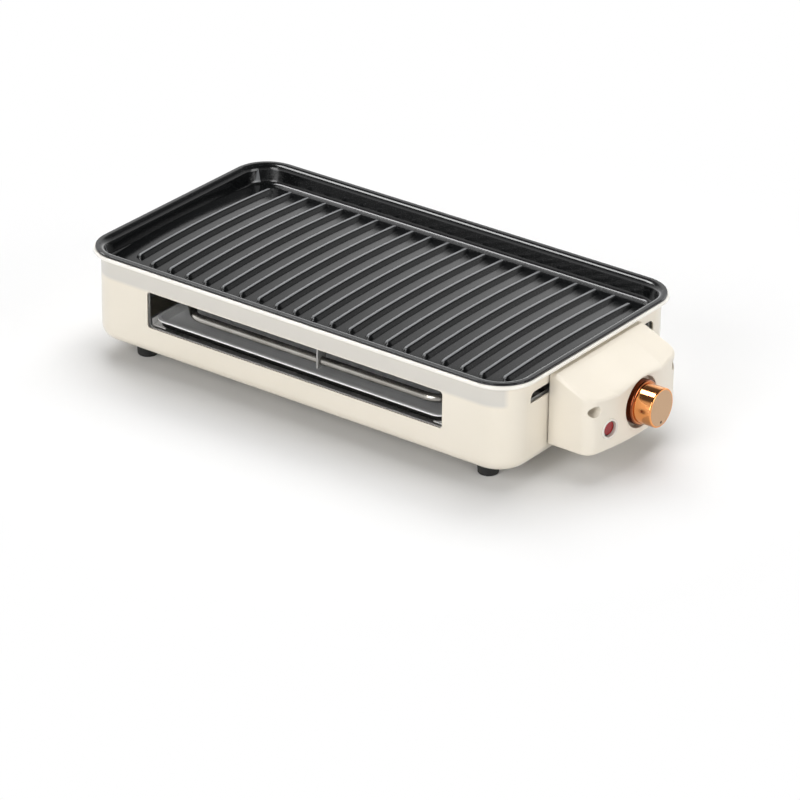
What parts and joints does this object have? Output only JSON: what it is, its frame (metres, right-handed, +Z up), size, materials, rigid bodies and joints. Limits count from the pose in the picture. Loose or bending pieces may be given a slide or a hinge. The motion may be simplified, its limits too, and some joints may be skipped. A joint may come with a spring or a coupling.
{
  "type": "indoor electric grill",
  "caption": "Table-top electric grill: cream steel body on rubber feet, ribbed lift-off pan, window with a sliding drip tray, and an end control case with a turning heat knob.",
  "frame": {"origin": "under the middle of the whole object, on the surface that it stands on", "axes": "+X along the long side towards the control case, -Y out of the front window, +Z up"},
  "size_m": [0.46, 0.226, 0.09],
  "materials": {
    "cream_paint": "satin stoved enamel",
    "cream_plastic": "satin moulded plastic",
    "nonstick_coat": "cast aluminium with a dark non-stick coat",
    "bright_steel": "bright rolled sheet",
    "element_steel": "drawn tube",
    "zinc_steel": "zinc plated",
    "black_rubber": "matt",
    "white_ceramic": "unglazed ceramic",
    "copper_plate": "polished copper plate on plastic",
    "champagne_disc": "spun satin",
    "red_lens": "clear red",
    "pale_bezel": "gloss",
    "black_plastic": "moulded",
    "brass": "turned",
    "copper_tube": "drawn",
    "lamp_glass": "clear",
    "wire_cover": "silicone braid"
  },
  "bodies": {
    "housing": {"body_shell": "cream_paint", "base_plate": "bright_steel", "base_screws": "zinc_steel", "foot_screws": "zinc_steel", "foot_nuts": "zinc_steel", "foot_front_left": "black_rubber", "foot_back_left": "black_rubber", "foot_front_right": "black_rubber", "foot_back_right": "black_rubber", "heat_liner": "bright_steel", "runner_left": "bright_steel", "runner_right": "bright_steel", "runner_rivets": "zinc_steel", "heating_element": "element_steel", "terminal_bushes": "white_ceramic", "element_pins": "zinc_steel", "element_hanger": "bright_steel", "control_case": "cream_plastic", "control_back_plate": "bright_steel", "back_plate_screws": "zinc_steel", "case_pillars": "zinc_steel", "case_screws": "zinc_steel", "thermostat_bracket": "bright_steel", "thermostat_body": "white_ceramic", "thermostat_nut": "brass", "sensor_tube": "copper_tube", "indicator_bezel": "pale_bezel", "indicator_lens": "red_lens", "indicator_lamp": "lamp_glass", "lamp_leads": "wire_cover", "terminal_block": "black_plastic", "wire_supply": "wire_cover", "wire_live": "wire_cover", "wire_neutral": "wire_cover", "thermal_fuse": "zinc_steel", "cord_gland": "black_rubber"},
    "plate": {"grill_plate": "nonstick_coat"},
    "tray": {"drip_tray": "bright_steel"},
    "dial": {"knob": "copper_plate", "knob_face": "champagne_disc", "thermostat_spindle": "zinc_steel"}
  },
  "joints": [
    {"name": "plate_lift", "type": "slide", "parent": "housing", "child": "plate", "axis": [0, 0, 1], "range_m": [0, 0.06]},
    {"name": "tray_slide", "type": "slide", "parent": "housing", "child": "tray", "axis": [0, -1, 0], "range_m": [0, 0.16]},
    {"name": "knob_turn", "type": "hinge", "parent": "housing", "child": "dial", "pos_m": [0.2, 0, 0.0504], "axis": [-1, 0, 0], "range_deg": [0, 270]}
  ]
}
